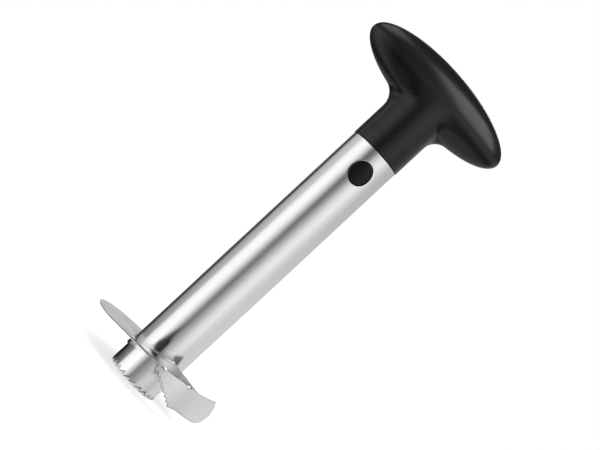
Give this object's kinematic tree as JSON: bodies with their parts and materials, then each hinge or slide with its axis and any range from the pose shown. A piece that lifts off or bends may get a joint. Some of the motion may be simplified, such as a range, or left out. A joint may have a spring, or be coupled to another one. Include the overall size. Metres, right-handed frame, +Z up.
{
  "type": "pineapple slicer",
  "caption": "Hand tool that cores and slices a pineapple: toothed steel tube with a spiral slicing ring and upright rim blade, under a black T-handle with push buttons.",
  "frame": {"origin": "on the tube's axis, level with the tips of the tube's teeth, where the tool stands", "axes": "+Z up the tube to the handle; X along the handle's bar; -Y towards the front button"},
  "size_m": [0.104, 0.0868, 0.2437],
  "materials": {
    "polished_steel": "stainless steel tube, polished lengthways",
    "blade_steel": "stainless steel sheet, satin, with bright ground edges",
    "weld_steel": "small rounded weld beads",
    "handle_plastic": "black moulded plastic with a fine matte texture",
    "button_plastic": "black moulded plastic",
    "latch_plastic": "black glass-filled plastic",
    "screw_steel": "zinc-plated steel",
    "spring_steel": "bare spring wire"
  },
  "bodies": {
    "slicer": {"core_tube": "polished_steel", "slicing_ring": "blade_steel", "rim_blade": "blade_steel", "tack_weld_1": "weld_steel", "tack_weld_2": "weld_steel", "tack_weld_3": "weld_steel", "hub_weld_1": "weld_steel", "hub_weld_2": "weld_steel", "hub_weld_3": "weld_steel", "handle_front_shell": "handle_plastic", "handle_rear_shell": "handle_plastic", "handle_screw_1": "screw_steel", "handle_screw_2": "screw_steel", "handle_screw_3": "screw_steel", "latch_body": "latch_plastic", "latch_cap": "latch_plastic", "latch_screw_1": "screw_steel", "latch_screw_2": "screw_steel", "front_spring": "spring_steel", "rear_spring": "spring_steel"},
    "front_release": {"front_button": "button_plastic"},
    "rear_release": {"rear_button": "button_plastic"}
  },
  "joints": [
    {"name": "front_button_press", "type": "slide", "parent": "slicer", "child": "front_release", "axis": [0, 1, 0], "range_m": [0, 0.0035], "stiffness_N_per_m": 500, "springref_m": -0.004, "deforming": ["front_spring"]},
    {"name": "rear_button_press", "type": "slide", "parent": "slicer", "child": "rear_release", "axis": [0, -1, 0], "range_m": [0, 0.0035], "stiffness_N_per_m": 500, "springref_m": -0.004, "deforming": ["rear_spring"]}
  ]
}
